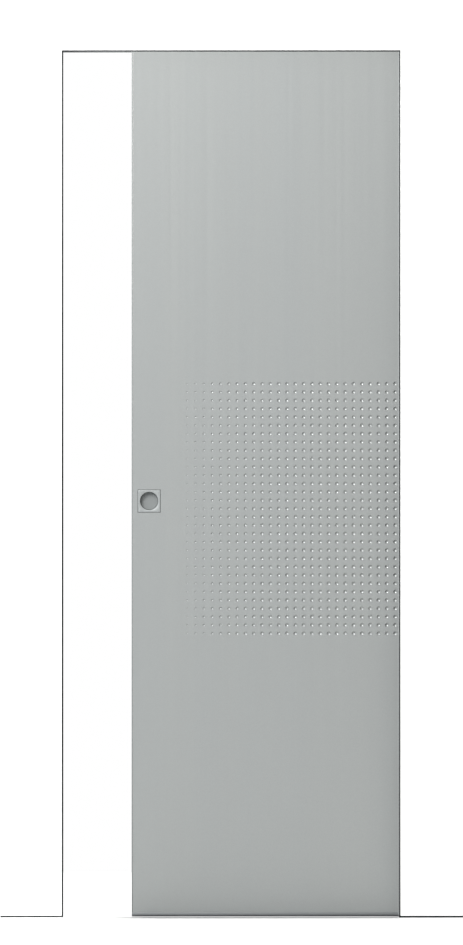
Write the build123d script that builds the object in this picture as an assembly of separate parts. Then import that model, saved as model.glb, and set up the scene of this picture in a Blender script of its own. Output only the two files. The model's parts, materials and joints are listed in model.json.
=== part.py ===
from build123d import *
import os

# A pocket door in a short piece of stud wall. Millimetres. X runs along the wall towards the
# pocket, Y runs from the front of the wall to its back, Z is up. The leaf is modelled partly open.

# Doorway and wall
opening_width = 808.0
opening_height = 2080.0
rest_opening = 165.0
side_wall_width = 150.0
head_wall_height = 130.0
cassette_depth = 100.0
board_thickness = 12.5
trim = 3.0

# Timber and steel of the wall
stud_width = 45.0
sole_plate_height = 40.0
strip_thickness = 4.0
end_post_depth = 60.0
end_post_sheet = 2.0
end_post_lip = 14.0
cable_slot_width = 30.0
cable_slot_height = 90.0
cable_slot_count = 3

# Leaf
leaf_thickness = 40.0
facing_thickness = 8.0
edge_strip = 3.0
closing_insert = 3.0
mouth_overlap = 29.0
head_insert = 15.0
floor_gap = 5.0
bottom_rail_height = 6.0

# Groove in the closing jamb, with its seal
groove_depth = 8.0
groove_clearance = 6.0
seal_width = 20.0
seal_gap = 0.3

# Pocket
pocket_clearance = 10.0
pocket_sheet = 2.0
rib_count = 7
rib_crown = 60.0
mouth_post_width = 25.0
mouth_post_wall = 2.0
buffer_space = 12.0
buffer_radius = 16.0
buffer_gap = 0.6

# Brushes
brush_gap = 0.4
brush_reach = 2.4
head_brush_height = 6.0
head_upstand = 22.0
upstand_sheet = 2.0

# Track and running gear
track_width = 40.0
track_height = 33.0
track_wall = 3.0
track_slot = 14.0
hanger_rise = 13.0
wheel_radius = 11.0
wheel_width = 7.0
wheel_side_gap = 1.0
wheel_lift = 0.3
axle_radius = 2.5
axle_play = 0.1
axle_spacing = 44.0
carriage_length = 64.0
carriage_half_width = 7.5
carriage_lift = 1.5
carriage_height = 18.0
neck_radius = 5.0
nut_radius = 8.0
nut_height = 5.0
hanger_length = 100.0
hanger_width = 32.0
hanger_plate = 4.0
hanger_inset = 120.0
stop_length = 40.0
stop_height = 20.0
stop_nose_length = 8.0
stop_nose_radius = 7.0
stop_gap = 0.5
stop_side_gap = 0.5

# Floor guide and the channel that it runs in
guide_plate = 1.5
guide_plate_length = 60.0
guide_fin_width = 6.0
guide_fin_length = 40.0
guide_fin_height = 19.0
guide_fin_setback = 8.0
guide_play = 1.5
channel_wall = 2.0
channel_head_gap = 6.0
bottom_seal_width = 4.0
bottom_seal_inset = 6.0
bottom_seal_tip_gap = 0.3

# Pulls
pull_height = 1000.0
pull_setback = 42.0
pull_size = 54.0
pull_plate = 2.5
pull_proud = 0.5
pull_fit = 0.6
cup_radius = 22.0
cup_wall = 1.2
cup_depth = 11.0
cup_fit = 0.3
edge_pull_length = 90.0
edge_pull_width = 20.0
edge_pull_plate = 2.0
edge_pull_hole_length = 60.0
edge_pull_hole_width = 13.0
edge_pull_depth = 10.0

# Places along the wall
leaf_width = closing_insert + opening_width + mouth_overlap
wall_length = side_wall_width + opening_width + leaf_width + buffer_space + end_post_depth
wall_left = -wall_length / 2
wall_right = wall_length / 2
opening_left = wall_left + side_wall_width
mouth = opening_left + opening_width
pocket_back = mouth + leaf_width + buffer_space
leaf_lead = opening_left + rest_opening
leaf_trail = leaf_lead + leaf_width
facing_left = leaf_lead + edge_strip
facing_right = leaf_trail - edge_strip
pocket_left = mouth + trim
pocket_side_left = pocket_left + mouth_post_width
groove_face = opening_left - groove_depth
slide_closed = -(rest_opening + closing_insert)
slide_open = opening_width - rest_opening

# Places across the wall
frame_face = cassette_depth / 2
wall_face = frame_face + board_thickness
leaf_face = leaf_thickness / 2
core_face = leaf_face - facing_thickness
groove_half = leaf_face + groove_clearance
slot_half = groove_half + trim
pocket_face = leaf_face + pocket_clearance
brush_tip = leaf_face + brush_gap
channel_inner = guide_fin_width / 2 + guide_play
channel_outer = channel_inner + channel_wall
track_half = track_width / 2
track_inner = track_half - track_wall

# Heights
wall_top = opening_height + head_wall_height
facing_bottom = floor_gap + bottom_rail_height
leaf_top = opening_height + head_insert
track_bottom = leaf_top + hanger_rise
track_top = track_bottom + track_height
running_face = track_bottom + track_wall
frame_bottom = strip_thickness
stud_bottom = frame_bottom + sole_plate_height
guide_top = guide_plate + guide_fin_height
channel_top = guide_top + channel_head_gap
channel_outer_top = channel_top + channel_wall
wheel_centre = running_face + wheel_lift + wheel_radius


def block(x_limits, y_limits, z_limits):
    """A box given by its lowest and highest place along each axis."""
    spans = [x_limits, y_limits, z_limits]
    sizes = [high - low for low, high in spans]
    centre = [(low + high) / 2 for low, high in spans]
    return Pos(*centre) * Box(*sizes)


def along_x(outline, x_from, x_to):
    """A profile of (y, z) points drawn out along the wall."""
    points = [(x_from, y, z) for y, z in outline]
    face = make_face(Polyline(*points, close=True).edges())
    return extrude(face, amount=x_to - x_from, dir=(1, 0, 0))


def along_z(outline, z_from, z_to):
    """A profile of (x, y) points drawn out upwards."""
    points = [(x, y, z_from) for x, y in outline]
    face = make_face(Polyline(*points, close=True).edges())
    return extrude(face, amount=z_to - z_from, dir=(0, 0, 1))


def cylinder_across(x, z, y_from, y_to, radius):
    """A round bar across the wall."""
    bar = Cylinder(radius, y_to - y_from)
    return Pos(x, (y_from + y_to) / 2, z) * Rot(90, 0, 0) * bar


def behind(shape):
    """The same piece on the back of the wall."""
    return mirror(shape, about=Plane.XZ)


def save(name, *shapes):
    """Writes one node, of one or more solids."""
    solids = [solid for shape in shapes for solid in shape.solids()]
    node = solids[0] if len(solids) == 1 else Compound(children=solids)
    export_step(node, f"parts/{name}.step")


def save_pair(name, shape, ending=""):
    """Writes a front piece and the like piece on the back."""
    save(f"{name}_front{ending}", shape)
    save(f"{name}_back{ending}", behind(shape))


def wall_boards():
    """The plasterboard of one face: beside, over and past the doorway."""
    depth = (-wall_face, -frame_face)
    trim_top = opening_height + trim
    left = block((wall_left, opening_left - trim), depth, (strip_thickness, wall_top))
    head = block((opening_left - trim, pocket_left), depth, (trim_top, wall_top))
    pocket = block((pocket_left, wall_right), depth, (strip_thickness, wall_top))
    return left, head, pocket


def timber_frame():
    """Sole plate, two studs and the header beam. The closing stud is grooved for its profile."""
    depth = (-frame_face, frame_face)
    groove_back = groove_face - trim
    plate = block((wall_left, groove_back), depth, (frame_bottom, stud_bottom))
    end_stud = block((wall_left, wall_left + stud_width), depth, (stud_bottom, track_top))
    stud_face = opening_left - trim
    closing = block((stud_face - stud_width, stud_face), depth, (stud_bottom, track_top))
    groove = block((groove_back, stud_face), (-slot_half, slot_half), (stud_bottom, track_top))
    beam = block((wall_left, wall_right), depth, (track_top, wall_top))
    return plate, end_stud, closing - groove, beam


def head_batten():
    """The batten beside the track that carries the board over the doorway."""
    depth = (-frame_face, -slot_half - upstand_sheet)
    return block((opening_left - trim, pocket_left), depth, (opening_height + trim, track_top))


def end_post():
    """The steel post at the end of the pocket: a lipped channel, slotted for cables."""
    inner = frame_face - end_post_sheet
    lip = frame_face - end_post_lip
    web = pocket_back + end_post_sheet
    lip_left = wall_right - end_post_sheet
    upper = [(wall_right, lip), (lip_left, lip), (lip_left, inner), (web, inner)]
    lower = [(x, -y) for x, y in reversed(upper)]
    outer = [
        (wall_right, -frame_face),
        (pocket_back, -frame_face),
        (pocket_back, frame_face),
        (wall_right, frame_face),
    ]
    post = along_z(upper + lower + outer, frame_bottom, track_top)
    pitch = (track_top - frame_bottom) / (cable_slot_count + 1)
    slot = extrude(SlotOverall(cable_slot_height, cable_slot_width), amount=end_post_depth)
    for number in range(cable_slot_count):
        height = frame_bottom + pitch * (number + 1) - pitch / 3
        post -= Pos(pocket_back - end_post_depth / 2, 0, height) * Rot(0, 90, 0) * slot
    return post


def pocket_side():
    """One side of the pocket: a steel sheet folded into flat ribs that the board lies on."""
    rib_depth = frame_face - pocket_face - pocket_sheet
    pitch = (track_top - frame_bottom) / rib_count
    line = [(-pocket_face, frame_bottom)]
    for number in range(rib_count):
        middle = frame_bottom + pitch * (number + 0.5)
        near = rib_crown / 2
        far = near + rib_depth
        line.append((-pocket_face, middle - far))
        line.append((-pocket_face - rib_depth, middle - near))
        line.append((-pocket_face - rib_depth, middle + near))
        line.append((-pocket_face, middle + far))
    line.append((-pocket_face, track_top))
    outside = [(y - pocket_sheet, z) for y, z in reversed(line)]
    return along_x(line + outside, pocket_side_left, pocket_back)


def mouth_profile():
    """The trim at the pocket's mouth: a thin edge over the board, on a hollow post."""
    edge = block((mouth, pocket_left), (-wall_face, -slot_half), (0, opening_height))
    depth = (-frame_face, -pocket_face)
    post = block((pocket_left, pocket_side_left), depth, (0, track_top))
    wall = mouth_post_wall
    hollow_depth = (-frame_face + wall, -pocket_face - wall)
    hollow = block((pocket_left + wall, pocket_side_left - wall), hollow_depth, (0, track_top))
    return edge + (post - hollow)


def closing_profile():
    """The lining of the closing jamb, folded back in its middle to take the leaf's edge."""
    front = opening_left - trim
    back = groove_face - trim
    centre = [(front, slot_half), (back, slot_half), (back, -slot_half), (front, -slot_half)]
    groove = [
        (opening_left, -groove_half),
        (groove_face, -groove_half),
        (groove_face, groove_half),
        (opening_left, groove_half),
    ]
    cheeks_low = [(front, -wall_face), (opening_left, -wall_face)]
    cheeks_high = [(opening_left, wall_face), (front, wall_face)]
    lining = along_z(cheeks_low + groove + cheeks_high + centre, 0, opening_height)
    collar_low = [(opening_left, -slot_half)]
    collar_high = [(opening_left, slot_half)]
    upper = along_z(collar_low + groove + collar_high + centre[1:3], opening_height, track_top)
    return lining + upper


def closing_seal():
    """The rubber strip that the closed leaf meets."""
    reach = opening_left - closing_insert - seal_gap
    half = seal_width / 2
    nose = reach - (reach - groove_face) / 2
    outline = [(groove_face, -half), (nose, -half), (reach, -half / 2)]
    outline += [(x, -y) for x, y in reversed(outline)]
    return along_z(outline, floor_gap, leaf_top)


def head_profile():
    """The trim over the doorway: a thin edge under the board, turned up beside the leaf."""
    edge = opening_height + trim
    inner = slot_half + upstand_sheet
    outline = [
        (-wall_face, opening_height),
        (-slot_half, opening_height),
        (-slot_half, edge + head_upstand),
        (-inner, edge + head_upstand),
        (-inner, edge),
        (-wall_face, edge),
    ]
    return along_x(outline, opening_left - trim, pocket_left)


def mouth_brush():
    """The brush that closes the gap beside the leaf at the pocket's mouth."""
    sides = (mouth - brush_reach, pocket_left)
    return block(sides, (-slot_half, -brush_tip), (frame_bottom, opening_height))


def head_brush():
    """The brush that closes the gap beside the leaf over the doorway."""
    heights = (opening_height, opening_height + head_brush_height)
    return block((opening_left, pocket_left), (-slot_half, -brush_tip), heights)


def floor_strips():
    """The sealing strips that the wall's frame stands on, left of the doorway and by the pocket."""
    heights = (0, frame_bottom)
    depth = (-frame_face, frame_face)
    left = block((wall_left, groove_face - trim), depth, heights)
    side_depth = (-frame_face, -pocket_face)
    front = block((pocket_side_left, pocket_back), side_depth, heights)
    under_post = block((pocket_back, wall_right), depth, heights)
    return left, (front, behind(front), under_post)


def track_rail():
    """The extruded track, open below along its slot."""
    slot = track_slot / 2
    inner_top = track_top - track_wall
    right = [
        (slot, track_bottom),
        (track_half, track_bottom),
        (track_half, track_top),
    ]
    left = [(-y, z) for y, z in reversed(right)]
    inside = [
        (-slot, running_face),
        (-track_inner, running_face),
        (-track_inner, inner_top),
        (track_inner, inner_top),
        (track_inner, running_face),
        (slot, running_face),
    ]
    return along_x(right + left + inside, groove_face, pocket_back)


def track_stop(face, direction):
    """A stop clamped in the track, with a rubber nose. Its nose ends at face."""
    shoulder = face - direction * stop_nose_length
    far = shoulder - direction * stop_length
    half = track_inner - stop_side_gap
    heights = (running_face, running_face + stop_height)
    body = block(tuple(sorted((far, shoulder))), (-half, half), heights)
    nose = Cylinder(stop_nose_radius, stop_nose_length)
    middle = ((face + shoulder) / 2, 0, running_face + stop_height / 2)
    return body + Pos(*middle) * Rot(0, 90, 0) * nose


def carriage(x):
    """A carriage in the track: a chamfered body on two axles, with a neck through the slot."""
    half = carriage_length / 2
    base = running_face + carriage_lift
    heights = (base, base + carriage_height)
    body = block((x - half, x + half), (-carriage_half_width, carriage_half_width), heights)
    upper_ends = body.edges().filter_by(Axis.Y).group_by(Axis.Z)[-1]
    body = chamfer(upper_ends, carriage_height / 3)
    reach = track_inner - wheel_side_gap
    for side in (-1, 1):
        body += cylinder_across(x + side * axle_spacing / 2, wheel_centre, -reach, reach, axle_radius)
    foot = leaf_top + hanger_plate + nut_height
    neck = Cylinder(neck_radius, base - foot, align=(Align.CENTER, Align.CENTER, Align.MIN))
    return body + Pos(x, 0, foot) * neck


def wheels(x):
    """The four wheels of one carriage."""
    outer = track_inner - wheel_side_gap
    inner = outer - wheel_width
    rims = []
    for end in (-1, 1):
        centre = x + end * axle_spacing / 2
        for low, high in ((-outer, -inner), (inner, outer)):
            rim = cylinder_across(centre, wheel_centre, low, high, wheel_radius)
            bore = cylinder_across(centre, wheel_centre, low, high, axle_radius + axle_play)
            rims.append(rim - bore)
    return rims


def hanger(x):
    """The plate on the leaf's top that the carriage's bolt holds, with its nut."""
    half = hanger_length / 2
    heights = (leaf_top, leaf_top + hanger_plate)
    plate = block((x - half, x + half), (-hanger_width / 2, hanger_width / 2), heights)
    plate = fillet(plate.edges().filter_by(Axis.Z), hanger_width / 4)
    nut = extrude(RegularPolygon(nut_radius, 6), amount=nut_height)
    return plate + Pos(x, 0, leaf_top + hanger_plate) * nut


def pocket_buffer():
    """The rubber buffer on the end post."""
    length = buffer_space - buffer_gap
    buffer = Cylinder(buffer_radius, length)
    middle = (pocket_back - length / 2, 0, (leaf_top + floor_gap) / 2)
    return Pos(*middle) * Rot(0, 90, 0) * buffer


def floor_guide():
    """The guide at the pocket's mouth: a plate on the floor with a fin in the leaf's groove."""
    plate = block((mouth, mouth + guide_plate_length), (-slot_half, slot_half), (0, guide_plate))
    fin = extrude(SlotOverall(guide_fin_length, guide_fin_width), amount=guide_fin_height)
    middle = mouth + guide_fin_setback + guide_fin_length / 2
    return plate + Pos(middle, 0, guide_plate) * fin


def bottom_channel():
    """The rail under the leaf, with the channel that runs over the floor guide."""
    outline = [
        (channel_inner, floor_gap),
        (leaf_face, floor_gap),
        (leaf_face, facing_bottom),
        (channel_outer, facing_bottom),
        (channel_outer, channel_outer_top),
    ]
    mirrored = [(-y, z) for y, z in reversed(outline)]
    inside = [(-channel_inner, channel_top), (channel_inner, channel_top)]
    rail = along_x(outline + mirrored + inside, facing_left, leaf_trail)
    shoe = block((leaf_lead, facing_left), (-leaf_face, leaf_face), (floor_gap, facing_bottom))
    return rail + shoe


def bottom_seal():
    """The two sealing lips under the bottom rail, which end just over the floor guide."""
    outer = leaf_face - bottom_seal_inset
    heights = (guide_plate + bottom_seal_tip_gap, floor_gap)
    lip = block((leaf_lead, leaf_trail), (-outer, -outer + bottom_seal_width), heights)
    return lip, behind(lip)


def pull_place():
    """The centre of the flush pulls: along the wall and above the floor."""
    return leaf_lead + pull_setback, pull_height


def pull():
    """The front flush pull: a square plate with a round cup."""
    x, z = pull_place()
    half = pull_size / 2
    face = -leaf_face - pull_proud
    back = face + pull_plate
    bottom = face + cup_depth
    plate = block((x - half, x + half), (face, back), (z - half, z + half))
    cup = cylinder_across(x, z, face, bottom + cup_wall, cup_radius + cup_wall)
    return plate + cup - cylinder_across(x, z, face, bottom, cup_radius)


def pull_recess():
    """What is cut from the front facing and the core for the flush pull."""
    x, z = pull_place()
    half = pull_size / 2 + pull_fit
    face = -leaf_face
    back = face - pull_proud + pull_plate
    bottom = face - pull_proud + cup_depth + cup_wall
    square = block((x - half, x + half), (face, back), (z - half, z + half))
    return square + cylinder_across(x, z, face, bottom, cup_radius + cup_wall + cup_fit)


def edge_pull():
    """The finger pull in the leading edge: a plate with a pocket."""
    low = pull_height - edge_pull_length / 2
    half = edge_pull_width / 2
    plate = block(
        (leaf_lead, leaf_lead + edge_pull_plate), (-half, half), (low, low + edge_pull_length)
    )
    hole_low = pull_height - edge_pull_hole_length / 2
    hole_half = edge_pull_hole_width / 2
    hole_high = hole_low + edge_pull_hole_length
    wall = cup_wall
    shell = block(
        (leaf_lead, leaf_lead + edge_pull_depth + wall),
        (-hole_half - wall, hole_half + wall),
        (hole_low - wall, hole_high + wall),
    )
    hole = block(
        (leaf_lead, leaf_lead + edge_pull_depth), (-hole_half, hole_half), (hole_low, hole_high)
    )
    return plate + shell - hole


def edge_pull_recess():
    """What is cut from the leading edge and the core for the finger pull."""
    half = edge_pull_width / 2 + cup_fit
    length = edge_pull_length / 2 + cup_fit
    plate = block(
        (leaf_lead, leaf_lead + edge_pull_plate),
        (-half, half),
        (pull_height - length, pull_height + length),
    )
    hole_half = edge_pull_hole_width / 2 + cup_wall + cup_fit
    hole_length = edge_pull_hole_length / 2 + cup_wall + cup_fit
    shell = block(
        (leaf_lead, leaf_lead + edge_pull_depth + cup_wall + cup_fit),
        (-hole_half, hole_half),
        (pull_height - hole_length, pull_height + hole_length),
    )
    return plate + shell


def leaf_panels():
    """The core, the front facing and the two edge strips, cut for the pulls and the channel."""
    heights = (facing_bottom, leaf_top)
    long_way = (facing_left, facing_right)
    recess = pull_recess()
    core = block(long_way, (-core_face, core_face), heights)
    facing = block(long_way, (-leaf_face, -core_face), heights)
    channel_room = block(
        (facing_left, leaf_trail), (-channel_outer, channel_outer), (facing_bottom, channel_outer_top)
    )
    core -= channel_room
    core -= recess
    core -= behind(recess)
    core -= edge_pull_recess()
    depth = (-leaf_face, leaf_face)
    lead = block((leaf_lead, facing_left), depth, heights) - edge_pull_recess()
    trail = block((facing_right, leaf_trail), depth, heights) - channel_room
    return core, facing - recess, lead, trail


def save_wall():
    """Writes the pieces of the wall and its frame."""
    left, head, pocket = wall_boards()
    save_pair("board", left, "_left")
    save_pair("board", head, "_head")
    save_pair("board", pocket, "_pocket")
    for name, piece in zip(("sole_plate", "end_stud", "closing_stud", "header_beam"), timber_frame()):
        save(name, piece)
    save_pair("head_batten", head_batten())
    save("end_post", end_post())
    left_strip, pocket_strips = floor_strips()
    save("floor_strip_left", left_strip)
    save("floor_strip_pocket", *pocket_strips)


def save_trims():
    """Writes the profiles, seals and brushes round the doorway, and the pocket's sides."""
    save("closing_profile", closing_profile())
    save("closing_seal", closing_seal())
    save_pair("mouth_profile", mouth_profile())
    save_pair("head_profile", head_profile())
    save_pair("mouth_brush", mouth_brush())
    save_pair("head_brush", head_brush())
    save_pair("pocket_side", pocket_side())
    save("pocket_buffer", pocket_buffer())
    save("floor_guide", floor_guide())


def save_running_gear():
    """Writes the track, its stops, and the carriages and hangers on the leaf."""
    save("track_rail", track_rail())
    lead = leaf_lead + hanger_inset
    trail = leaf_trail - hanger_inset
    half = carriage_length / 2
    save("track_stop_closed", track_stop(lead - half + slide_closed - stop_gap, 1))
    save("track_stop_open", track_stop(trail + half + slide_open + stop_gap, -1))
    for name, x in (("lead", lead), ("trail", trail)):
        save(f"carriage_{name}", carriage(x))
        save(f"wheels_{name}", *wheels(x))
        save(f"hanger_{name}", hanger(x))


def save_leaf():
    """Writes the leaf and what is let into it."""
    core, facing, lead, trail = leaf_panels()
    save("leaf_core", core)
    save_pair("leaf_facing", facing)
    save("leaf_lead_edge", lead)
    save("leaf_trail_edge", trail)
    save("leaf_bottom_channel", bottom_channel())
    save("leaf_bottom_seal", *bottom_seal())
    save_pair("pull", pull())
    save("edge_pull", edge_pull())


os.makedirs("parts", exist_ok=True)
save_wall()
save_trims()
save_running_gear()
save_leaf()
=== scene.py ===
"""Visual model of a pocket door in a short piece of stud wall, and the studio that it stands in.

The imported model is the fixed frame. X runs along the wall towards the pocket, Y from its front to
its back and Z up. The door's sizes are in millimetres, and a mesh is scaled to metres when it is
done. The studio's sizes are in metres.
"""

import json
import logging
import math
import random
from dataclasses import dataclass, field
from enum import Enum
from typing import Any, Sequence

import bmesh
import bpy
from mathutils import Euler, Matrix, Vector

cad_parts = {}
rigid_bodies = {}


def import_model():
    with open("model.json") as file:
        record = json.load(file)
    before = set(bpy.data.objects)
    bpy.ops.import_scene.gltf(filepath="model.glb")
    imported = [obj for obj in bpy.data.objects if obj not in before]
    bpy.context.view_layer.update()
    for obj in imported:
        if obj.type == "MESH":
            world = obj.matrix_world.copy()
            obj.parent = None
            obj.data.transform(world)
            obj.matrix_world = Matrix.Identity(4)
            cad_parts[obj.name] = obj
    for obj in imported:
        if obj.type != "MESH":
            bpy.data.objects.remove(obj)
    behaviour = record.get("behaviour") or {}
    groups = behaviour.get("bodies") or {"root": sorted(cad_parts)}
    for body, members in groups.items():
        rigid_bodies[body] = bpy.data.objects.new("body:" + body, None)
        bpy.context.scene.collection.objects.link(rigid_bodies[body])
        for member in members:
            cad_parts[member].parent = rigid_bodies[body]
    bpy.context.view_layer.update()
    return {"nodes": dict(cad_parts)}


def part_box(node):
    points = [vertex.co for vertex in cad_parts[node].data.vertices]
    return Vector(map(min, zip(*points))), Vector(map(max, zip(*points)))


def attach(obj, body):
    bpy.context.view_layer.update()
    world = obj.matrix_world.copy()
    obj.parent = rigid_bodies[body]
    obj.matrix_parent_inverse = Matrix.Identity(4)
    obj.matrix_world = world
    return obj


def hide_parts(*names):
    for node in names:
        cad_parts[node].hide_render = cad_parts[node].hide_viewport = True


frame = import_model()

Edges = list[bmesh.types.BMEdge]
Node = bpy.types.Node
Point = tuple[float, float, float]
Socket = bpy.types.NodeSocket
Span = tuple[float, float]
Tree = bpy.types.NodeTree
Colour = Socket | str  # from other nodes, or an sRGB hex value

LOG = logging.getLogger("pocket_door")
METRES = 0.001

# Points closer than this are one, and a point this close to a plane lies in it
MERGE = 0.004
# Points of a rounded lip: how far out and down each is, as shares of the rounding
LIP_ROUND = ((1.0, 0.0), (0.3, 0.3), (0.0, 1.0))
# Faces that meet at less are one face, and edges that are sharper get rounded
FLAT_ANGLE = math.radians(0.5)
SHARP_ANGLE = math.radians(40.0)

# A Mix node's sockets for colours by number, because those for numbers have the same names
MIX_SHARE = 0
MIX_BELOW = 6
MIX_ABOVE = 7
MIXED = 2

# A wave texture of scale 1 repeats after this length
WAVE_PERIOD = math.tau / 20


class Body(Enum):
    """What a piece moves with."""

    WALL = "wall"
    LEAF = "leaf"


class Side(Enum):
    """The two faces of the wall; the value is the direction along Y."""

    FRONT = -1
    BACK = 1

    @property
    def word(self) -> str:
        """The ending that names of pieces on this side have."""
        return self.name.lower()


class Grain(Enum):
    """The axis that lines, fibres or a strip run along; the value is its index."""

    ALONG = 0
    ACROSS = 1
    UPRIGHT = 2

    def vector(self, length: float) -> Vector:
        """A vector of this length along the axis."""
        return Vector([length if index == self.value else 0.0 for index in range(3)])

    def cell(self, size: Span) -> Point:
        """A cell of a pattern of lines, from its width and its length along the axis."""
        width, length = size
        return tuple(length if index == self.value else width for index in range(3))


# Finishes


def linear(colour: str) -> tuple[float, float, float, float]:
    """Turns an sRGB hex colour into Blender's linear values.

    Args:
        colour: A hash and six hex digits.

    Returns:
        Linear red, green and blue, and an alpha of 1.
    """
    channels = [int(colour[place : place + 2], 16) / 255 for place in (1, 3, 5)]
    values = [c / 12.92 if c <= 0.04045 else ((c + 0.055) / 1.055) ** 2.4 for c in channels]
    return values[0], values[1], values[2], 1.0


def add_node(tree: Tree, kind: str, sockets: dict[Any, Any] | None = None, **settings: Any) -> Node:
    """Adds a node to a tree.

    Args:
        tree: The node tree of a material or of the world.
        kind: Blender's name for the node type.
        sockets: Input name or number against a plain value, or against the output that feeds it.
        **settings: The node's own properties.

    Returns:
        The new node.
    """
    node = tree.nodes.new(kind)
    for name, value in settings.items():
        setattr(node, name, value)
    for name, value in (sockets or {}).items():
        if isinstance(value, bpy.types.NodeSocket):
            tree.links.new(value, node.inputs[name])
        else:
            node.inputs[name].default_value = value
    return node


def layered(tree: Tree, base: Colour, *layers: tuple[Socket | float, Colour]) -> Socket:
    """Lays colours over one another.

    Args:
        tree: The node tree of a material or of the world.
        base: The lowest colour.
        *layers: How far each further colour covers those below it, and the colour.

    Returns:
        The colour that shows.
    """
    shown: Any = linear(base) if isinstance(base, str) else base
    for cover, colour in layers:
        above = linear(colour) if isinstance(colour, str) else colour
        sockets = {MIX_SHARE: cover, MIX_BELOW: shown, MIX_ABOVE: above}
        shown = add_node(tree, "ShaderNodeMix", sockets, data_type="RGBA").outputs[MIXED]
    return shown


def either_way(middle: float, swing: float) -> Span:
    """The ends of a value that goes as far up as down from its middle."""
    return middle - swing, middle + swing


class Coat:
    """The node tree and the shader of a material while its finish is made."""

    def __init__(self, material: bpy.types.Material) -> None:
        """Gives the material its nodes.

        Args:
            material: The new material.
        """
        material.use_nodes = True
        self.tree = material.node_tree
        self.shader = self.tree.nodes["Principled BSDF"]

    def give(self, name: str, value: Socket | float) -> None:
        """Sets an input of the shader, or feeds it.

        Args:
            name: The input.
            value: Its value, or the output that feeds it.
        """
        if isinstance(value, bpy.types.NodeSocket):
            self.tree.links.new(value, self.shader.inputs[name])
        else:
            self.shader.inputs[name].default_value = value

    def place(self, **mapping: Point) -> Socket:
        """Object coordinates, moved or scaled.

        Args:
            **mapping: Location in metres and Scale, or one of them.

        Returns:
            The coordinates.
        """
        own = add_node(self.tree, "ShaderNodeTexCoord").outputs["Object"]
        moved = add_node(self.tree, "ShaderNodeMapping", {"Vector": own, **mapping})
        return moved.outputs["Vector"]

    def cells(self, cell: Point) -> Socket:
        """Object coordinates in which one unit is one cell of a pattern of this size."""
        return self.place(Scale=tuple(1 / (METRES * length) for length in cell))

    def centred(self, centre: Span) -> Socket:
        """Object coordinates whose origin is on an axis across the wall, at this X and Z."""
        return self.place(Location=(-centre[0] * METRES, 0.0, -centre[1] * METRES))

    def marks(self, cell: Point, detail: float = 2.0) -> Socket:
        """Irregular marks of a real size.

        Args:
            cell: Their size along X, Y and Z.
            detail: How many finer layers they have.

        Returns:
            Their strength, from nought to one.
        """
        sockets = {"Vector": self.cells(cell), "Scale": 1.0, "Detail": detail}
        return add_node(self.tree, "ShaderNodeTexNoise", sockets).outputs["Fac"]

    def speckled(self, colour: Socket, marks: Socket, reach: Span, swing: Span) -> Socket:
        """Darkens and lightens a colour where marks are weak and strong.

        Args:
            colour: The colour.
            marks: The marks.
            reach: Strengths of the marks between which it changes.
            swing: What it is multiplied by at those strengths.

        Returns:
            The changed colour.
        """
        ends = {"From Min": reach[0], "From Max": reach[1], "To Min": swing[0], "To Max": swing[1]}
        share = add_node(self.tree, "ShaderNodeMapRange", {"Value": marks, **ends})
        sockets = {0: colour, "Scale": share.outputs["Result"]}
        changed = add_node(self.tree, "ShaderNodeVectorMath", sockets, operation="SCALE")
        return changed.outputs["Vector"]

    def follow(
        self,
        marks: Socket,
        tone: tuple[str, str] | None = None,
        gloss: Span | None = None,
        relief: Span | None = None,
    ) -> None:
        """Lets the surface follow marks in tone, in gloss or in height.

        Args:
            marks: The marks, from nought to one.
            tone: The sRGB hex colour at nought and at one.
            gloss: The roughness at nought and at one.
            relief: How strongly the height shows, and the height.
        """
        if tone is not None:
            self.give("Base Color", layered(self.tree, tone[0], (marks, tone[1])))
        if gloss is not None:
            ends = {"Value": marks, "To Min": gloss[0], "To Max": gloss[1]}
            ranged = add_node(self.tree, "ShaderNodeMapRange", ends)
            self.give("Roughness", ranged.outputs["Result"])
        if relief is not None:
            heights = {"Height": marks, "Strength": relief[0], "Distance": relief[1] * METRES}
            raised = add_node(self.tree, "ShaderNodeBump", heights)
            self.give("Normal", raised.outputs["Normal"])


@dataclass(frozen=True)
class Finish:
    """A surface: what it is made of and how it was made.

    In each finish, light and dark are the ends of its tone as sRGB hex, a swing is how far a value
    goes either way from its middle, and relief is how strongly the marks' height shows and that
    height in millimetres.

    Attributes:
        name: The material's name.
        slot: The record's material slot that it stands for; not used.
    """

    name: str
    slot: str

    def dress(self, coat: Coat) -> None:
        """Lays the finish's own pattern on a new material."""
        raise NotImplementedError

    def material(self) -> bpy.types.Material:
        """Makes the finish's material, or finds it if it was made before.

        Returns:
            The material.
        """
        found = bpy.data.materials.get(self.name)
        if found is None:
            found = bpy.data.materials.new(self.name)
            self.dress(Coat(found))
        return found


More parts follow.
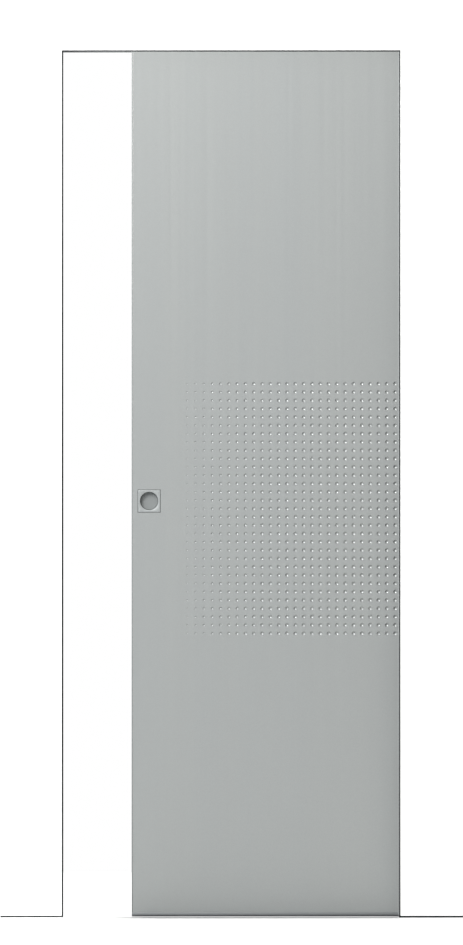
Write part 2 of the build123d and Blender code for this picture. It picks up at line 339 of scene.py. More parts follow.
@dataclass(frozen=True)
class MetallicLacquer(Finish):
    """Satin lacquer with metal flake on a pressed facing: faint upright bands from the roller.

    Attributes:
        pull_centre: Middle of the pull's recess, along X and up Z.
        pull_reach: Half the width of the square round it that the painted shade darkens.
        primed_within: Distance from the leaf's middle within which that square gets the painted
            shade.
        primer: The painted shade's colour, which stands in for the shadow in the gap round the
            pull's plate.
        warm: Colour at one end of the broad bands.
        cool: Colour at their other end.
        band: Width and length of the broad bands.
        streak: Width and length of the narrow streaks.
        streak_share: How far the streaks cover the bands.
        flake: Size of the flake, which is drawn coarser than it is so that it shows.
        flake_reach: Strengths of the flake between which it changes the tone.
    """

    pull_centre: Span
    pull_reach: float = 34.0
    primed_within: float = 19.6
    # Painted shade: this dark colour fills the pull's recess and stands in for the shadow in the
    # gap round the plate
    primer: str = "#454747"
    light: str = "#9A9D9B"
    dark: str = "#979A99"
    warm: str = "#9C9D9A"
    cool: str = "#979A9A"
    band: Span = (95.0, 5200.0)
    streak: Span = (9.0, 1400.0)
    streak_share: float = 0.5
    flake: float = 1.6
    flake_reach: Span = (0.3, 0.7)
    flake_swing: float = 0.03
    metallic: float = 0.5
    roughness: float = 0.38
    gloss_swing: float = 0.03
    relief: Span = (0.08, 0.1)

    def dress(self, coat: Coat) -> None:
        """Broad bands tint the lacquer, narrow streaks and the flake break it up.

        Args:
            coat: The material's coat.
        """
        broad = coat.marks(Grain.UPRIGHT.cell(self.band))
        narrow = coat.marks(Grain.UPRIGHT.cell(self.streak), detail=3.0)
        flake = coat.marks((self.flake,) * 3)
        tint = layered(coat.tree, self.warm, (broad, self.cool))
        streaked = layered(coat.tree, self.dark, (narrow, self.light))
        banded = layered(coat.tree, tint, (self.streak_share, streaked))
        flaked = coat.speckled(banded, flake, self.flake_reach, either_way(1.0, self.flake_swing))
        # Painted shade: the walls and floor of the pull's recess and the hole for its cup get a
        # dark colour that stands in for their shadow
        recess_shaded = layered(coat.tree, flaked, (self.recess_mask(coat), self.primer))
        coat.give("Base Color", recess_shaded)
        coat.follow(narrow, gloss=either_way(self.roughness, self.gloss_swing))
        coat.follow(flake, relief=self.relief)
        coat.give("Metallic", self.metallic)

    def recess_mask(self, coat: Coat) -> Socket:
        """One inside the pull's recess, below the face, and nought elsewhere.

        Args:
            coat: The material's coat.

        Returns:
            The mask.
        """
        sockets = {0: coat.centred(self.pull_centre)}
        size = add_node(coat.tree, "ShaderNodeVectorMath", sockets, operation="ABSOLUTE")
        split = add_node(coat.tree, "ShaderNodeSeparateXYZ", {0: size.outputs["Vector"]})
        mask: Any = 1.0
        limits = (("X", self.pull_reach), ("Y", self.primed_within), ("Z", self.pull_reach))
        for axis, limit in limits:
            sockets = {0: split.outputs[axis], 1: limit * METRES}
            below = add_node(coat.tree, "ShaderNodeMath", sockets, operation="LESS_THAN")
            sockets = {0: mask, 1: below.outputs[0]}
            both = add_node(coat.tree, "ShaderNodeMath", sockets, operation="MULTIPLY")
            mask = both.outputs[0]
        return mask


@dataclass(frozen=True)
class DrawnMetal(Finish):
    """Extruded or rolled metal with fine lines along its length, bare or anodised.

    Attributes:
        grain: The axis that the lines run along.
        line: Width and length of the lines, which are drawn wider than they are so that they show.
        cloud: Size of the clouds that the gloss follows.
    """

    light: str
    dark: str
    roughness: float
    metallic: float = 1.0
    grain: Grain = Grain.UPRIGHT
    line: Span = (0.8, 260.0)
    cloud: float = 60.0
    gloss_swing: float = 0.08
    relief: Span = (0.15, 0.1)

    def dress(self, coat: Coat) -> None:
        """Die lines change tone and height, and clouds the gloss.

        Args:
            coat: The material's coat.
        """
        lines = coat.marks(self.grain.cell(self.line), detail=3.0)
        clouds = coat.marks((self.cloud,) * 3, detail=3.0)
        coat.follow(lines, tone=(self.dark, self.light), relief=self.relief)
        coat.follow(clouds, gloss=either_way(self.roughness, self.gloss_swing))
        coat.give("Metallic", self.metallic)


@dataclass(frozen=True)
class GalvanisedSheet(Finish):
    """Hot-dip galvanised steel: the zinc freezes in flat crystals some 8 mm wide."""

    light: str = "#B3B8BA"
    dark: str = "#8E9496"
    crystal: float = 8.0
    gloss: Span = (0.32, 0.55)
    metallic: float = 0.9

    def dress(self, coat: Coat) -> None:
        """Each crystal has its own tone and gloss.

        Args:
            coat: The material's coat.
        """
        sockets = {"Vector": coat.cells((self.crystal,) * 3), "Scale": 1.0, "Randomness": 1.0}
        spangle = add_node(coat.tree, "ShaderNodeTexVoronoi", sockets)
        pick = add_node(coat.tree, "ShaderNodeSeparateColor", {0: spangle.outputs["Color"]})
        coat.follow(pick.outputs[0], tone=(self.dark, self.light))
        coat.follow(pick.outputs[1], gloss=self.gloss)
        coat.give("Metallic", self.metallic)


@dataclass(frozen=True)
class PlanedSoftwood(Finish):
    """Planed spruce: growth rings 4 mm apart, pale early wood and darker late wood, fine fibres.

    Attributes:
        early: Colour of the early wood.
        late: Colour of the late wood.
        grain: The axis that the tree grew along.
        ring: Distance between rings.
        pith: How far the timber is from the middle of the tree.
        straightness: How much of their waver the rings show along the grain.
        waver: How far the rings waver.
        waver_detail: How many finer layers the waver has.
        waver_scale: How closely it repeats.
        fibre: Width and length of the fibres.
        fibre_reach: Strengths of the fibres between which they change the tone.
        fibre_swing: What they multiply it by there.
    """

    early: str = "#C9AF8B"
    late: str = "#A28059"
    grain: Grain = Grain.UPRIGHT
    ring: float = 4.0
    pith: Point = (130.0, 70.0, 40.0)
    straightness: float = 0.04
    waver: float = 2.4
    waver_detail: float = 2.0
    waver_scale: float = 0.12
    fibre: Span = (0.7, 45.0)
    fibre_reach: Span = (0.25, 0.75)
    fibre_swing: Span = (0.88, 1.08)
    roughness: float = 0.62
    relief: Span = (0.3, 0.2)

    def dress(self, coat: Coat) -> None:
        """Rings round a pith beside the timber, bent by slow noise, and fibres along the grain.

        Args:
            coat: The material's coat.
        """
        pith = tuple(METRES * offset for offset in self.pith)
        sockets = {
            "Vector": coat.place(Location=pith, Scale=self.grain.cell((1.0, self.straightness))),
            "Scale": WAVE_PERIOD / (self.ring * METRES),
            "Distortion": self.waver,
            "Detail": self.waver_detail,
            "Detail Scale": self.waver_scale,
        }
        rings = add_node(
            coat.tree,
            "ShaderNodeTexWave",
            sockets,
            wave_type="RINGS",
            rings_direction="XYZ"[self.grain.value],
            wave_profile="SAW",
        )
        fibres = coat.marks(self.grain.cell(self.fibre))
        tone = layered(coat.tree, self.early, (rings.outputs["Fac"], self.late))
        coat.give("Base Color", coat.speckled(tone, fibres, self.fibre_reach, self.fibre_swing))
        coat.follow(fibres, relief=self.relief)
        coat.give("Roughness", self.roughness)


@dataclass(frozen=True)
class PaintedPlasterboard(Finish):
    """Plasterboard under matt emulsion: roller stipple outside, paper and gypsum at cut edges.

    Attributes:
        paint: Colour of the paint.
        paper: Colour of the paper on both faces of the board.
        outer: The painted face's distance from the wall's middle.
        inner: The inner face's distance from it.
        sheet: Thickness of the paper.
        film: Thickness of the paint.
        crumb: Size of the gypsum's crumbs.
        stipple: Size of the roller's stipple.
    """

    paint: str = "#F6F6F4"
    paper: str = "#B9AE9C"
    light: str = "#DAD8D2"
    dark: str = "#C9C6BE"
    outer: float = 62.5
    inner: float = 50.0
    sheet: float = 0.4
    film: float = 0.12
    crumb: float = 1.4
    stipple: float = 2.6
    roughness: float = 0.78
    relief: Span = (0.25, 0.3)

    def dress(self, coat: Coat) -> None:
        """Gypsum, paper and paint, told apart by how far a point lies from the wall's middle.

        Args:
            coat: The material's coat.
        """
        place = add_node(coat.tree, "ShaderNodeTexCoord").outputs["Object"]
        across = add_node(coat.tree, "ShaderNodeSeparateXYZ", {0: place}).outputs["Y"]
        depth = add_node(coat.tree, "ShaderNodeMath", {0: across}, operation="ABSOLUTE").outputs[0]
        crumbs = coat.marks((self.crumb,) * 3, detail=4.0)
        layers: list[tuple[Socket, str]] = [(crumbs, self.dark)]
        limits = (
            (self.outer - self.sheet, "GREATER_THAN", self.paper),
            (self.inner + self.sheet, "LESS_THAN", self.paper),
            (self.outer - self.film, "GREATER_THAN", self.paint),
        )
        for limit, test, colour in limits:
            sockets = {0: depth, 1: limit * METRES}
            inside = add_node(coat.tree, "ShaderNodeMath", sockets, operation=test).outputs[0]
            layers.append((inside, colour))
        coat.give("Base Color", layered(coat.tree, self.light, *layers))
        coat.follow(coat.marks((self.stipple,) * 3), relief=self.relief)
        coat.give("Roughness", self.roughness)


@dataclass(frozen=True)
class SpunSteel(Finish):
    """Satin stainless steel: brushed along on the plate and the cup's wall, turned on its floor.

    Attributes:
        centre: The cup's axis, along X and up Z.
        floor: Radius of the cup's floor, on which the steel is matt and the marks are rings.
        matt_light: Lightest tone of the floor, darker than the plate partly for its matt finish and
            partly as painted shade in the cup.
        matt_dark: Its darkest tone.
        turned: Distance between rings.
        brushed: Size of the brush marks.
        roughness: Roughness of the floor and of the plate.
        metallic: How metallic the floor and the plate look.
    """

    centre: Span
    floor: float
    light: str = "#969998"
    dark: str = "#8E9190"
    # Partly painted shade: the floor's tones are darker than the plate's for its matt finish and
    # also to stand in for the shade in the cup
    matt_light: str = "#737675"
    matt_dark: str = "#6B6E6D"
    turned: float = 0.5
    brushed: Point = (30.0, 0.5, 0.5)
    roughness: Span = (0.62, 0.5)
    metallic: Span = (0.15, 0.5)
    relief: Span = (0.2, 0.1)

    def dress(self, coat: Coat) -> None:
        """One noise is read along the radius, another across the brushing.

        Args:
            coat: The material's coat.
        """
        sockets = {0: coat.centred(self.centre), 1: (1.0, 0.0, 1.0)}
        flat = add_node(coat.tree, "ShaderNodeVectorMath", sockets, operation="MULTIPLY")
        sockets = {0: flat.outputs["Vector"]}
        length = add_node(coat.tree, "ShaderNodeVectorMath", sockets, operation="LENGTH")
        radius = length.outputs["Value"]
        sockets = {"W": radius, "Scale": 1 / (self.turned * METRES), "Detail": 2.0}
        rings = add_node(coat.tree, "ShaderNodeTexNoise", sockets, noise_dimensions="1D")
        brushed = coat.marks(self.brushed)
        sockets = {0: radius, 1: self.floor * METRES}
        plate = add_node(coat.tree, "ShaderNodeMath", sockets, operation="GREATER_THAN").outputs[0]
        marks = layered(coat.tree, rings.outputs["Fac"], (plate, brushed))
        # The cup's floor gets these darker tones: partly its matt finish, partly painted shade in
        # the cup
        matt = layered(coat.tree, self.matt_dark, (marks, self.matt_light))
        bright = layered(coat.tree, self.dark, (marks, self.light))
        coat.give("Base Color", layered(coat.tree, matt, (plate, bright)))
        coat.follow(marks, relief=self.relief)
        coat.follow(plate, gloss=self.roughness)
        ends = {"Value": plate, "To Min": self.metallic[0], "To Max": self.metallic[1]}
        metal = add_node(coat.tree, "ShaderNodeMapRange", ends)
        coat.give("Metallic", metal.outputs["Result"])


@dataclass(frozen=True)
class MouldedPolymer(Finish):
    """Moulded nylon or rubber: one colour, with the mould's fine spark texture.

    Attributes:
        spark: Size of the texture's pits, drawn coarser than the real 0.1 mm so that they show.
        bloom: Size of the clouds that tone and gloss follow.
    """

    light: str = "#34363A"
    dark: str = "#26272A"
    roughness: float = 0.5
    spark: float = 0.9
    bloom: float = 24.0
    gloss_swing: float = 0.07
    relief: Span = (0.2, 0.1)

    def dress(self, coat: Coat) -> None:
        """Clouds change tone and gloss, and the pits are the relief.

        Args:
            coat: The material's coat.
        """
        gloss = either_way(self.roughness, self.gloss_swing)
        bloom = coat.marks((self.bloom,) * 3)
        coat.follow(bloom, tone=(self.dark, self.light), gloss=gloss)
        coat.follow(coat.marks((self.spark,) * 3, detail=3.0), relief=self.relief)


@dataclass(frozen=True)
class NylonPile(Finish):
    """Grey nylon pile: hairs differ in tone from tuft to tuft and catch light at their sides."""

    light: str = "#9FA2A2"
    dark: str = "#6F7272"
    tuft: Span = (1.8, 9.0)
    roughness: float = 0.7
    sheen: float = 0.3

    def dress(self, coat: Coat) -> None:
        """Marks as wide as a tuft, long along the hairs.

        Args:
            coat: The material's coat.
        """
        tufts = coat.marks(Grain.ACROSS.cell(self.tuft))
        coat.follow(tufts, tone=(self.dark, self.light))
        coat.give("Roughness", self.roughness)
        coat.give("Sheen Weight", self.sheen)


@dataclass(frozen=True)
class MattGrain(Finish):
    """A matt surface with fine or wide clouds in it.

    Attributes:
        weak: Colour where the clouds are weak.
        strong: Colour where they are strong.
        cloud: Size of the clouds.
        detail: How many finer layers they have.
    """

    weak: str
    strong: str
    cloud: float
    detail: float
    roughness: float

    def dress(self, coat: Coat) -> None:
        """The clouds change the tone.

        Args:
            coat: The material's coat.
        """
        clouds = coat.marks((self.cloud,) * 3, self.detail)
        coat.follow(clouds, tone=(self.weak, self.strong))
        coat.give("Roughness", self.roughness)


def cad_box(node: str) -> tuple[Vector, Vector]:
    """A CAD node's lowest and highest corner in millimetres."""
    low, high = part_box(node)
    return low / METRES, high / METRES


PULL_LOW, PULL_HIGH = cad_box("pull_front")
PULL_CENTRE = ((PULL_LOW.x + PULL_HIGH.x) / 2, (PULL_LOW.z + PULL_HIGH.z) / 2)

LACQUER = MetallicLacquer("satin_metallic_lacquer", "leaf_lacquer", PULL_CENTRE)
EDGE_STRIP = DrawnMetal(
    "satin_anodised_aluminium",
    "leaf_edge",
    light="#868988",
    dark="#7C7F7E",
    roughness=0.58,
    metallic=0.4,
)
BOTTOM_RAIL = DrawnMetal(
    "grey_anodised_aluminium",
    "bottom_rail",
    light="#7E8181",
    dark="#747777",
    roughness=0.6,
    metallic=0.35,
    grain=Grain.ALONG,
)
DARK_UPRIGHT, DARK_ALONG = (
    DrawnMetal(
        f"dark_anodised_aluminium_{grain.name.lower()}",
        "dark_trim",
        light="#303132",
        dark="#28292A",
        roughness=0.42,
        grain=grain,
    )
    for grain in (Grain.UPRIGHT, Grain.ALONG)
)
MILL_ALUMINIUM = DrawnMetal(
    "mill_finish_aluminium",
    "track_aluminium",
    light="#C6C9CB",
    dark="#B0B3B5",
    roughness=0.38,
    grain=Grain.ALONG,
)
ZINC_STEEL = DrawnMetal(
    "zinc_plated_steel",
    "gear_steel",
    light="#B9BCBF",
    dark="#9DA1A4",
    roughness=0.36,
    grain=Grain.ALONG,
)
GALVANISED = GalvanisedSheet("galvanised_steel_sheet", "galvanised_steel")
STUD_WOOD = PlanedSoftwood("planed_spruce_upright", "timber")
BEAM_WOOD, PLATE_WOOD = (
    PlanedSoftwood(f"planed_spruce_{use}", "timber", grain=Grain.ALONG, pith=pith)
    for use, pith in (("along", (0.0, 90.0, -2000.0)), ("plate", (0.0, 60.0, 85.0)))
)
BOARD = PaintedPlasterboard("matt_painted_plasterboard", "painted_board")
NYLON = MouldedPolymer("moulded_nylon", "wheel_nylon")
RUBBER = MouldedPolymer(
    "epdm_rubber", "seal_rubber", light="#222223", dark="#18181A", roughness=0.72
)
GREY_RUBBER = MouldedPolymer(
    "grey_epdm_rubber", "seal_rubber", light="#8E9090", dark="#828484", roughness=0.7
)
PILE = NylonPile("grey_nylon_pile", "brush_hair")
# Pressed wood fibre, whose fibres are about a millimetre wide
CORE = MattGrain(
    "wood_fibre_core", "core_board", "#94764C", "#BFA175", cloud=1.1, detail=5.0, roughness=0.85
)
# The studio's floor, pale and a percent or two darker in wide patches
FLOOR = MattGrain(
    "studio_floor_paper", "", "#F4F4F2", "#F0F0EE", cloud=900.0, detail=2.0, roughness=0.9
)


# Shaping


def edges_at(edges: Sequence[bmesh.types.BMEdge], depth: float) -> Edges:
    """The edges that lie at a place across the wall."""
    return [edge for edge in edges if all(abs(vert.co.y - depth) < MERGE for vert in edge.verts)]


def draw_on(
    bm: bmesh.types.BMesh, edges: Sequence[bmesh.types.BMEdge], depth: float = 0.0
) -> list[bmesh.types.BMVert]:
    """Extrudes an open ring of edges across the wall.

    Args:
        bm: The mesh.
        edges: The ring.
        depth: How far the new ring is from the old one.

    Returns:
        The new ring's vertices.
    """
    made = bmesh.ops.extrude_edge_only(bm, edges=edges)["geom"]
    verts = [item for item in made if isinstance(item, bmesh.types.BMVert)]
    bmesh.ops.translate(bm, vec=(0.0, depth, 0.0), verts=verts)
    return verts


class Workpiece:
    """A mesh being made, in millimetres, and the piece of the door that it becomes."""

    def __init__(self, name: str, body: Body) -> None:
        """Starts with an empty mesh.

        Args:
            name: The piece's name.
            body: What it moves with.
        """
        self.name = name
        self.body = body
        self.bm = bmesh.new()

    @classmethod
    def from_node(cls, name: str, node: str, body: Body, arris: float) -> "Workpiece":
        """Starts with a merged copy of a CAD node whose sharp edges are rounded.

        Args:
            name: The piece's name.
            node: The CAD node that is copied.
            body: What the piece moves with.
            arris: How much of each edge is taken off.

        Returns:
            The workpiece.
        """
        work = cls(name, body)
        work.bm.from_mesh(frame["nodes"][node].data)
        bmesh.ops.scale(work.bm, vec=(1 / METRES,) * 3, verts=work.bm.verts)
        work.merge()
        bmesh.ops.dissolve_limit(
            work.bm, angle_limit=FLAT_ANGLE, verts=work.bm.verts, edges=work.bm.edges
        )
        inner = [edge for edge in work.bm.edges if len(edge.link_faces) == 2]
        sharp = [edge for edge in inner if edge.calc_face_angle(0.0) > SHARP_ANGLE]
        work.bevel(sharp, arris, clamp=True)
        return work

    def merge(self) -> None:
        """Joins points that lie on each other."""
        bmesh.ops.remove_doubles(self.bm, verts=self.bm.verts, dist=MERGE)

    def block(self, low: Sequence[float], high: Sequence[float]) -> None:
        """Adds a box.

        Args:
            low: Its lowest corner.
            high: Its highest corner.
        """
        size = Vector(high) - Vector(low)
        centre = (Vector(high) + Vector(low)) / 2
        matrix = Matrix.Translation(centre) @ Matrix.Diagonal((*size, 1.0))
        bmesh.ops.create_cube(self.bm, size=1.0, matrix=matrix)

    def bevel(self, edges: Edges, offset: float, segments: int = 2, clamp: bool = False) -> None:
        """Rounds edges.

        Args:
            edges: The edges.
            offset: How much of each is taken off.
            segments: Faces across a rounded edge.
            clamp: Whether it is less where two rounded edges would meet.
        """
        bmesh.ops.bevel(
            self.bm,
            geom=edges,
            offset=offset,
            offset_type="OFFSET",
            affect="EDGES",
            segments=segments,
            profile=0.5,
            material=-1,
            clamp_overlap=clamp,
        )

    def open_faces(self) -> None:
        """Takes out the faces that look straight across the wall, for new ones with holes."""
        flat = [face for face in self.bm.faces if abs(face.normal.y) > math.cos(FLAT_ANGLE)]
        bmesh.ops.delete(self.bm, geom=flat, context="FACES_ONLY")

    def open_edges(self) -> Edges:
        """The edges with an open side."""
        return [edge for edge in self.bm.edges if len(edge.link_faces) < 2]

    def close_face(self, depth: float, outward: int) -> None:
        """Fills the face between the open edges at a place across the wall.

        Args:
            depth: The face's place across the wall.
            outward: 1 if it looks to the back and -1 if it looks to the front.
        """
        bmesh.ops.triangle_fill(
            self.bm,
            edges=edges_at(self.open_edges(), depth),
            normal=(0, outward, 0),
            use_beauty=True,
        )

    def repeat(self, count: int, step: Vector) -> None:
        """Repeats all that is there.

        Args:
            count: How many times it stands there afterwards.
            step: How far each copy is from the one before.
        """
        once = self.bm.verts[:] + self.bm.edges[:] + self.bm.faces[:]
        for number in range(1, count):
            copied = bmesh.ops.duplicate(self.bm, geom=once)["geom"]
            verts = [item for item in copied if isinstance(item, bmesh.types.BMVert)]
            bmesh.ops.translate(self.bm, vec=step * number, verts=verts)

    def add(self, other: "Workpiece") -> None:
        """Joins another workpiece's mesh to this one and ends the other.

        Args:
            other: The other workpiece.
        """
        passing = bpy.data.meshes.new("passing")
        other.bm.to_mesh(passing)
        other.bm.free()
        self.bm.from_mesh(passing)
        bpy.data.meshes.remove(passing)

    def turn(
        self, profile: Sequence[Span], centre: Point, steps: int, lead_in: float = 0.0
    ) -> None:
        """Adds a surface turned round an axis that runs across the wall.

        Args:
            profile: Radius and place along Y of each point.
            centre: The axis's place; its Y is added to the profile's.
            steps: Faces round the axis.
            lead_in: Angle of the first point, in degrees.
        """
        turning = Workpiece("turning", self.body)
        points = [turning.bm.verts.new((radius, place, 0.0)) for radius, place in profile]
        line = [turning.bm.edges.new(pair) for pair in zip(points, points[1:])]
        lead = Matrix.Rotation(math.radians(lead_in), 3, "Y")
        bmesh.ops.rotate(turning.bm, verts=points, cent=(0, 0, 0), matrix=lead)
        bmesh.ops.spin(
            turning.bm,
            geom=points + line,
            cent=(0, 0, 0),
            axis=(0, 1, 0),
            angle=math.tau,
            steps=steps,
            use_merge=True,
        )
        turning.merge()
        bmesh.ops.translate(turning.bm, vec=centre, verts=turning.bm.verts)
        self.add(turning)

    def ring(self, radius: float, segments: int, centre: Vector, lead_in: float = 0.0) -> Edges:
        """Adds a bare ring of edges in the plane of the wall.

        Args:
            radius: The ring's radius.
            segments: Edges in it.
            centre: Its middle.
            lead_in: How far it is turned, in degrees.

        Returns:
            Its edges.
        """
        matrix = (
            Matrix.Translation(centre)
            @ Matrix.Rotation(math.radians(lead_in), 4, "Y")
            @ Matrix.Rotation(math.radians(90), 4, "X")
        )
        made = bmesh.ops.create_circle(
            self.bm, cap_ends=False, segments=segments, radius=radius, matrix=matrix
        )
        return list({edge for vert in made["verts"] for edge in vert.link_edges})

    def turn_to(self, side: Side) -> None:
        """Makes a piece that was built for the front the like piece on its own side.

        Args:
            side: The side that it is for.
        """
        if side is Side.BACK:
            bmesh.ops.scale(self.bm, vec=(1, -1, 1), verts=self.bm.verts)
        bmesh.ops.recalc_face_normals(self.bm, faces=self.bm.faces)

    def deliver(
        self,
        finish: Finish,
        replaced: Sequence[str],
        crease: float = 35.0,
        weighted: bool = False,
    ) -> None:
        """Turns the mesh into the finished piece.

        Args:
            finish: The surface that it gets.
            replaced: CAD nodes that it stands for.
            crease: Edges sharper than this many degrees stay crisp.
            weighted: Whether large faces keep their own shading beside small ones.
        """
        bmesh.ops.scale(self.bm, vec=(METRES,) * 3, verts=self.bm.verts)
        mesh = bpy.data.meshes.new(self.name)
        self.bm.to_mesh(mesh)
        self.bm.free()
        mesh.polygons.foreach_set("use_smooth", [True] * len(mesh.polygons))
        mesh.set_sharp_from_angle(angle=math.radians(crease))
        mesh.materials.append(finish.material())
        piece = bpy.data.objects.new(self.name, mesh)
        bpy.context.scene.collection.objects.link(piece)
        if weighted:
            piece.modifiers.new("even_shading", "WEIGHTED_NORMAL").keep_sharp = True
        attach(piece, self.body.value)
        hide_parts(*replaced)
        LOG.info("%s: %d faces, %s", self.name, len(mesh.polygons), finish.name)


def dress_node(node: str, finish: Finish) -> None:
    """Gives a CAD node that stays its finish.

    Args:
        node: The CAD node.
        finish: The surface that it gets.
    """
    for slot in frame["nodes"][node].material_slots:
        slot.material = finish.material()
    LOG.info("%s: CAD node, %s", node, finish.name)


def round_nodes(pieces: Sequence[tuple[str, str, Finish]], body: Body, arris: float) -> None:
    """Makes pieces that are CAD nodes with rounded edges.

    Args:
        pieces: Name, CAD node and finish of each piece.
        body: What they move with.
        arris: How much of each edge is taken off.
    """
    for name, node, finish in pieces:
        Workpiece.from_node(name, node, body, arris).deliver(finish, (node,))


# The leaf


@dataclass
class DimpleField:
    """The field of round dimples pressed into a facing, which grow from the pull on.

    Attributes:
        pitch: Distance between dimples, both ways.
        columns: Number of dimples along the leaf.
        rows: Number of dimples up the leaf.
        first_column: The first column's distance from the leading edge.
        lowest_row: The lowest row's height.
        smallest: Diameter in the first column.
        growth: How much larger the last ones are.
        growth_columns: Columns in which most of that comes.
        hollow: Depth as a share of the diameter.
        shares: Radii in the bowl that get a ring of points, as shares of the lip's.
        segments: Faces round a dimple.
    """

    pitch: float = 20.0
    columns: int = 34
    rows: int = 31
    first_column: float = 133.6
    lowest_row: float = 681.8
    smallest: float = 3.8
    growth: float = 6.1
    growth_columns: float = 5.0
    hollow: float = 0.34
    shares: tuple[float, ...] = (0.0, 0.45, 0.8, 1.0)
    segments: int = 12

    def bowl(self, column: int) -> list[Span]:
        """The profile of one dimple, a piece of a sphere.

        Args:
            column: The column's number from the pull.

        Returns:
            Radius and depth of each point, from the middle to the lip.
        """
        grown = 1 - math.exp(-column / self.growth_columns)
        diameter = self.smallest + self.growth * grown
        radius = diameter / 2
        depth = self.hollow * diameter
        sphere = (radius**2 + depth**2) / (2 * depth)
        radii = [share * radius for share in self.shares]
        return [(r, math.sqrt(sphere**2 - r**2) - sphere + depth) for r in radii]

    def column_strip(self, column: int, lead: float, face: float) -> Workpiece:
        """One column of dimples, each in its own square of the facing.

        Args:
            column: The column's number from the pull.
            lead: The leading edge's place along the wall.
            face: The facing's place across the wall.

        Returns:
            The strip.
        """
        strip = Workpiece("dimple_column", Body.LEAF)
        strip.turn(self.bowl(column), (0, 0, 0), self.segments, 180 / self.segments)
        for vert in draw_on(strip.bm, strip.open_edges()):
            vert.co *= self.pitch / 2 / max(abs(vert.co.x), abs(vert.co.z))
        strip.repeat(self.rows, Grain.UPRIGHT.vector(self.pitch))
        place = (lead + self.first_column + column * self.pitch, face, self.lowest_row)
        bmesh.ops.translate(strip.bm, vec=place, verts=strip.bm.verts)
        return strip

    def press_into(self, work: Workpiece, lead: float, face: float) -> None:
        """Adds the whole field to a facing's mesh.

        Args:
            work: The facing.
            lead: The leading edge's place along the wall.
            face: The facing's place across the wall.
        """
        for column in range(self.columns):
            work.add(self.column_strip(column, lead, face))
        work.merge()


@dataclass
class DimpledFacing:
    """One face of the leaf: a lacquered panel with the dimples and the recess for the pull.

    Attributes:
        side: The side of the wall that it looks to.
        dimples: Its dimples.
        arris: How much of the face's edges is taken off.
        recess_play: Gap round the pull's plate.
        recess_depth: Depth of the recess that the plate lies in.
        cup_hole: Radius of the hole that the cup goes through.
        cup_segments: Faces round that hole.
        crease: Edges sharper than this many degrees stay crisp, as the dimples' lips do.
    """

    side: Side
    dimples: DimpleField = field(default_factory=DimpleField)
    arris: float = 0.4
    recess_play: float = 0.6
    recess_depth: float = 2.0
    cup_hole: float = 23.5
    cup_segments: int = 48
    crease: float = 50.0

    def build(self) -> Workpiece:
        """Shapes the panel.

        Returns:
            The panel.
        """
        low, high = cad_box("leaf_facing_front")
        lead = cad_box("leaf_lead_edge")[0].x
        work = Workpiece(f"dimpled_facing_{self.side.word}", Body.LEAF)
        work.block(low, high)
        work.bevel(edges_at(work.bm.edges, low.y), self.arris)
        work.open_faces()
        self.cut_recess(work, low.y, high.y)
        self.dimples.press_into(work, lead, low.y)
        for depth, outward in ((low.y, -1), (low.y + self.recess_depth, -1), (high.y, 1)):
            work.close_face(depth, outward)
        work.turn_to(self.side)
        return work

    def cut_recess(self, work: Workpiece, face: float, back: float) -> None:
        """Adds the walls of the square recess and of the round hole behind it.

        Args:
            work: The facing.
            face: The facing's place across the wall.
            back: Its inner side's place.
        """
        half = (PULL_HIGH.x - PULL_LOW.x) / 2 + self.recess_play
        centre = Vector((PULL_CENTRE[0], face, PULL_CENTRE[1]))
        square = work.ring(half * math.sqrt(2), segments=4, centre=centre, lead_in=45.0)
        draw_on(work.bm, square, self.recess_depth)
        level = centre + Grain.ACROSS.vector(self.recess_depth)
        round_hole = work.ring(self.cup_hole, self.cup_segments, level)
        draw_on(work.bm, round_hole, back - level.y)

    def dress(self, work: Workpiece) -> None:
        """Lacquers the panel."""
        work.deliver(LACQUER, (f"leaf_facing_{self.side.word}",), self.crease, weighted=True)


